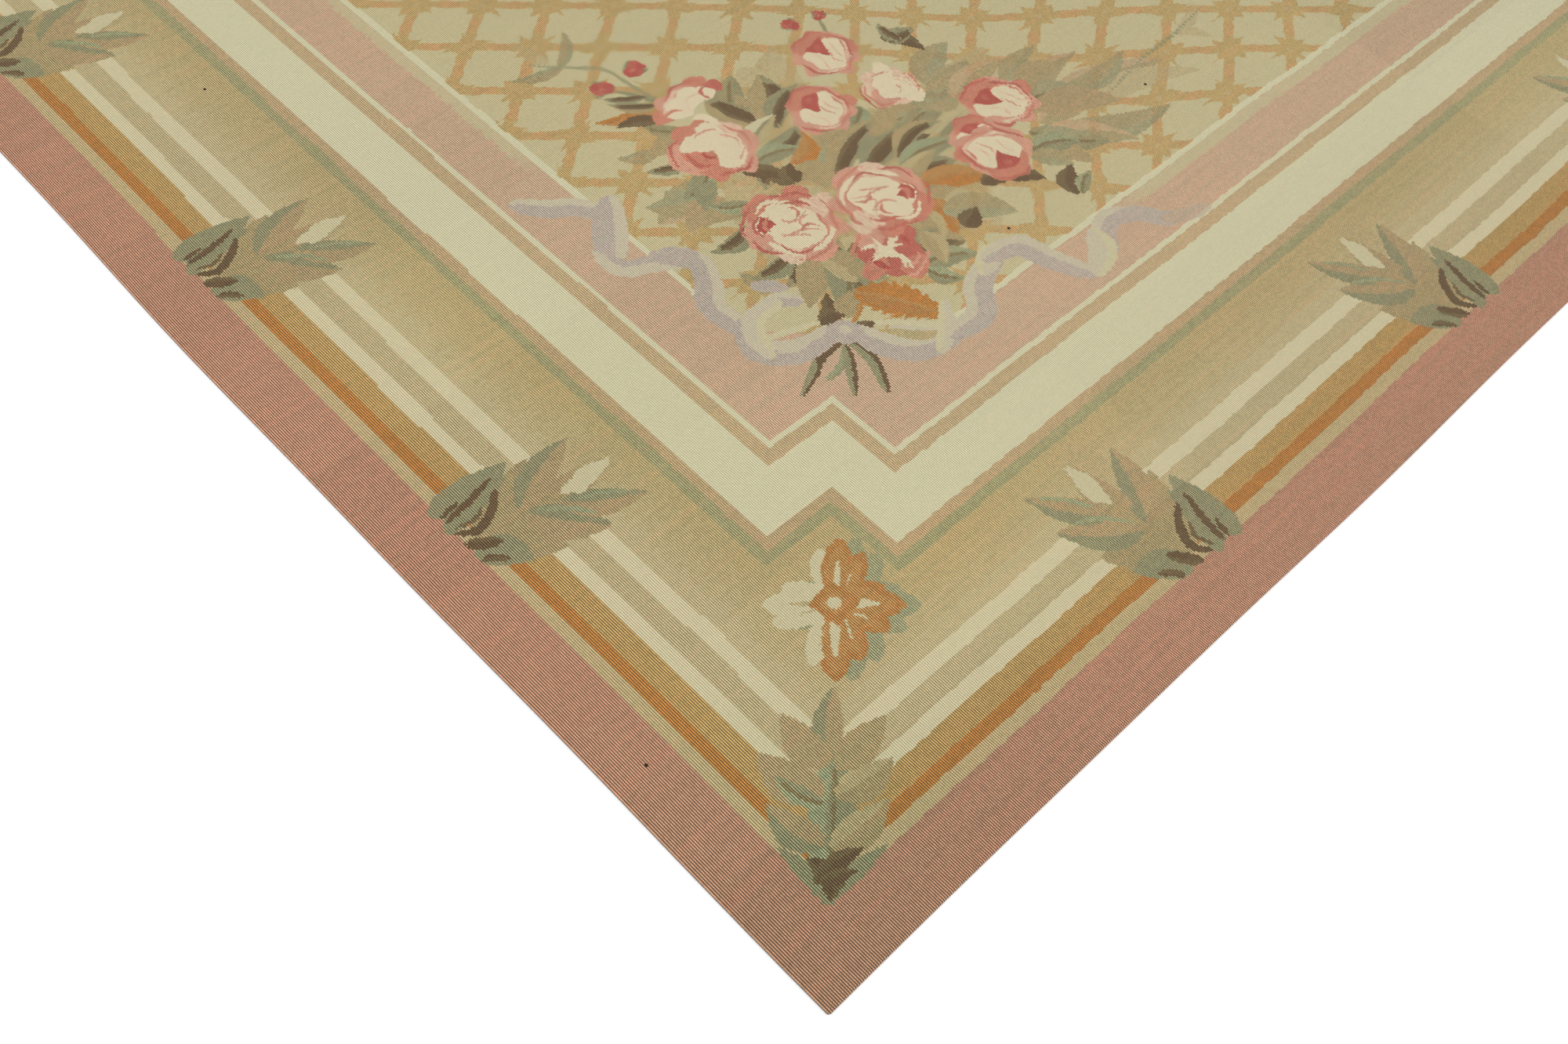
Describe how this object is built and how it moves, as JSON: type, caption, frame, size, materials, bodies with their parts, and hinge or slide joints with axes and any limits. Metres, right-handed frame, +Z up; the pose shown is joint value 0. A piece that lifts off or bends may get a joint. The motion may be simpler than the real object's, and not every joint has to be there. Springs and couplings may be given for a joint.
{
  "type": "aubusson rug",
  "caption": "Large rectangular flat-woven wool rug with a fluted leaf border, rose bouquets in its corners and a trellis field, lying flat.",
  "frame": {"origin": "middle of the rug, on the floor that it lies on", "axes": "+X along the long sides, +Y along the short sides and the warps, +Z up out of the face"},
  "size_m": [4.7024, 3.6924, 0.003],
  "materials": {
    "woven_wool": "matte ribbed wool tapestry weave in rose, cream, straw and tan"
  },
  "bodies": {
    "root": {"rug": "woven_wool"}
  },
  "joints": []
}
